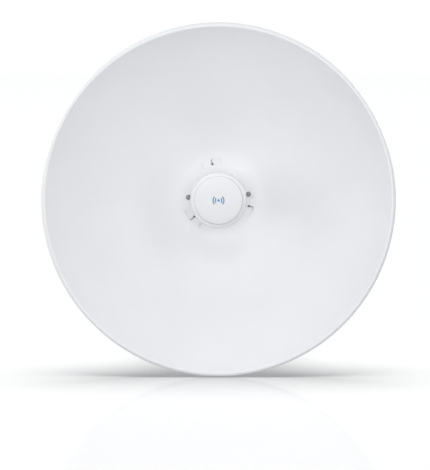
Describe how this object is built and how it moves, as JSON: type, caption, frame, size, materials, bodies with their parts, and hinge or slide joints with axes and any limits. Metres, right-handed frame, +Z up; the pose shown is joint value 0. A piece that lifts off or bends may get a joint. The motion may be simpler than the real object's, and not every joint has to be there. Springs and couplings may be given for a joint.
{
  "type": "outdoor wireless bridge",
  "caption": "Round parabolic dish reflector with a plug-in feed and radio at its centre, a latching rear housing, and a tilting bracket that clamps to an upright pole.",
  "frame": {"origin": "where the dish axis meets the axis of the upright pole that the clamp holds", "axes": "+Z up along the pole, -Y the way the dish faces, +X to the right when looking at the dish from in front"},
  "size_m": [0.52, 0.3282, 0.52],
  "materials": {
    "dish_paint": "satin white powder coat on pressed sheet steel",
    "white_plastic": "fine-grained white UV-stable plastic",
    "hub_plastic": "smooth satin white plastic",
    "grey_plastic": "fine-grained mid grey plastic",
    "black_plastic": "black plastic plunger",
    "clear_plastic": "polished clear acrylic light pipe",
    "galvanised": "zinc-coated pressed steel, faint spangle",
    "zinc": "bright zinc-plated fasteners",
    "dark_steel": "dark stainless screw heads",
    "aluminium": "bare satin aluminium",
    "tin_plate": "tin-plated sheet",
    "circuit_board": "green solder mask",
    "thermal_pad": "soft grey-blue silicone pad",
    "rubber": "black EPDM"
  },
  "bodies": {
    "pole_mount": {"pole_bracket": "galvanised", "front_jaw": "galvanised", "clamp_bolt_left": "zinc", "clamp_bolt_right": "zinc"},
    "rear_clamp": {"rear_jaw": "galvanised", "clamp_nut_left": "zinc", "clamp_nut_right": "zinc"},
    "head": {"reflector": "dish_paint", "rear_housing": "white_plastic", "lock_screw_left": "dark_steel", "lock_screw_right": "dark_steel", "latch_spring": "zinc", "tilt_bracket": "galvanised", "bracket_bolt_1": "zinc", "bracket_bolt_2": "zinc", "bracket_bolt_3": "zinc", "bracket_bolt_4": "zinc", "pivot_bolt_left": "zinc", "pivot_bolt_right": "zinc", "pivot_nut_left": "zinc", "pivot_nut_right": "zinc", "tilt_lock_bolt_left": "zinc", "tilt_lock_bolt_right": "zinc", "tilt_lock_nut_left": "zinc", "tilt_lock_nut_right": "zinc"},
    "feed": {"feed_tube": "white_plastic", "feed_front_cover": "hub_plastic", "cover_seal": "rubber", "sub_reflector": "aluminium", "feed_board": "circuit_board", "radio_board": "circuit_board", "rf_shield": "tin_plate", "thermal_pad": "thermal_pad", "heat_spreader": "aluminium", "ethernet_jack": "tin_plate", "reset_switch": "grey_plastic", "light_pipe": "clear_plastic", "feed_end_cap": "grey_plastic"},
    "release_button": {"release_button": "grey_plastic"},
    "reset_button": {"reset_button": "black_plastic"},
    "port_cover": {"port_cover": "white_plastic", "cable_gland": "rubber"}
  },
  "joints": [
    {"name": "head_tilt", "type": "hinge", "parent": "pole_mount", "child": "head", "pos_m": [0, -0.064, 0.016], "axis": [1, 0, 0], "range_deg": [-20, 20]},
    {"name": "clamp_slide", "type": "slide", "parent": "pole_mount", "child": "rear_clamp", "axis": [0, 1, 0], "range_m": [-0.0138, 0.0115]},
    {"name": "feed_slide", "type": "slide", "parent": "head", "child": "feed", "axis": [0, -1, 0], "range_m": [0, 0.035]},
    {"name": "release_press", "type": "slide", "parent": "head", "child": "release_button", "axis": [0, 0, -1], "range_m": [0, 0.0025], "stiffness_N_per_m": 800, "springref_m": -0.003, "deforming": ["latch_spring"]},
    {"name": "reset_press", "type": "slide", "parent": "feed", "child": "reset_button", "axis": [0, -1, 0], "range_m": [0, 0.0006], "stiffness_N_per_m": 1500, "springref_m": -0.0004},
    {"name": "cover_slide", "type": "slide", "parent": "head", "child": "port_cover", "axis": [0, 0, -1], "range_m": [0, 0.03]}
  ]
}
